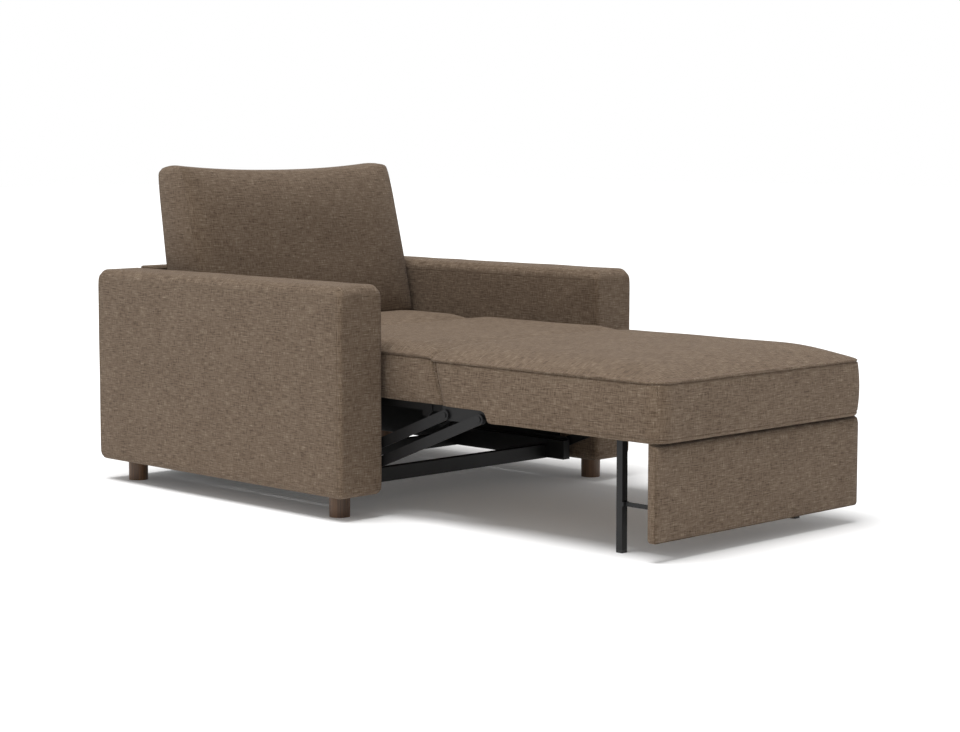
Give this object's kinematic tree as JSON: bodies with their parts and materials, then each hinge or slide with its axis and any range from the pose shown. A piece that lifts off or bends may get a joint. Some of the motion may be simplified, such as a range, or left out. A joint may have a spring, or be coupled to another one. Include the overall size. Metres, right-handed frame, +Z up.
{
  "type": "convertible chair bed",
  "caption": "Upholstered armchair whose seat swings forward on parallel links into a lounger, with a loose back cushion and low padded arms.",
  "frame": {"origin": "on the floor, at the middle of the outline seen from above", "axes": "+X to the right when looking from the foot end at the chair, +Y from the foot end towards the back, +Z up"},
  "size_m": [1.085, 1.926, 0.8781],
  "materials": {
    "fabric": "heathered brown upholstery weave",
    "walnut": "dark stained, satin",
    "timber": "planed softwood",
    "plywood": "sanded birch plywood",
    "black_steel": "black powder coat",
    "zinc_steel": "zinc plated",
    "plastic": "moulded black"
  },
  "bodies": {
    "base": {"back_board": "plywood", "back_cover": "fabric", "base_pins": "black_steel", "cushion_shelf": "plywood", "flap_pins": "black_steel", "foot_bolts": "zinc_steel", "front_crossbar": "black_steel", "left_arm_cover": "fabric", "left_arm_frame": "timber", "left_base_bracket": "black_steel", "left_base_rail": "black_steel", "left_front_foot": "walnut", "left_guide_plate": "black_steel", "left_rear_foot": "walnut", "rear_crossbar": "black_steel", "right_arm_cover": "fabric", "right_arm_frame": "timber", "right_base_bracket": "black_steel", "right_base_rail": "black_steel", "right_front_foot": "walnut", "right_guide_plate": "black_steel", "right_rear_foot": "walnut", "shelf_brackets": "black_steel"},
    "lower_links": {"right_lower_link": "black_steel", "left_lower_link": "black_steel"},
    "upper_links": {"right_upper_link": "black_steel", "left_upper_link": "black_steel"},
    "foot_section": {"foot_frame": "black_steel", "foot_cushion": "fabric", "foot_border": "fabric", "right_foot_bracket": "black_steel", "left_foot_bracket": "black_steel", "foot_pins": "black_steel", "foot_slats": "plywood", "right_leg": "black_steel", "left_leg": "black_steel", "leg_glides": "plastic", "right_leg_stay": "black_steel", "left_leg_stay": "black_steel", "front_panel_cover": "fabric", "front_panel_board": "plywood", "panel_tabs": "black_steel"},
    "middle_section": {"middle_frame": "black_steel", "middle_cushion": "fabric", "middle_slats": "plywood", "guide_rollers": "black_steel", "right_middle_hook": "black_steel", "left_middle_hook": "black_steel"},
    "rear_section": {"rear_frame": "black_steel", "rear_cushion": "fabric", "rear_slats": "plywood", "right_flap_plate": "black_steel", "left_flap_plate": "black_steel"},
    "back_cushion": {"back_cushion": "fabric"}
  },
  "joints": [
    {"name": "foot_swing", "type": "hinge", "parent": "base", "child": "lower_links", "pos_m": [0, 0.039, 0.108], "axis": [-1, 0, 0], "range_deg": [0, 136.86]},
    {"name": "foot_level", "type": "hinge", "parent": "lower_links", "child": "foot_section", "pos_m": [0, -0.391, 0.278], "axis": [1, 0, 0], "range_deg": [0, 137.06]},
    {"name": "upper_link_swing", "type": "hinge", "parent": "base", "child": "upper_links", "pos_m": [0, 0.159, 0.108], "axis": [-1, 0, 0], "range_deg": [0, 137.06]},
    {"name": "middle_drop", "type": "slide", "parent": "base", "child": "middle_section", "axis": [0, 0.8974, -0.4412], "range_m": [0, 0.4017]},
    {"name": "flap_swing", "type": "hinge", "parent": "base", "child": "rear_section", "pos_m": [0, 0.7235, 0.4575], "axis": [1, 0, 0], "range_deg": [0, 90.2]},
    {"name": "cushion_lift", "type": "slide", "parent": "base", "child": "back_cushion", "axis": [0, 0, 1], "range_m": [0, 0.3]}
  ],
  "couplings": [
    {"joint": "foot_level", "follows": "foot_swing", "ratio": 1},
    {"joint": "upper_link_swing", "follows": "foot_swing", "ratio": 1},
    {"joint": "middle_drop", "follows": "foot_swing", "m_per_rad": 0.16794},
    {"joint": "flap_swing", "follows": "foot_swing", "ratio": 0.65762}
  ]
}
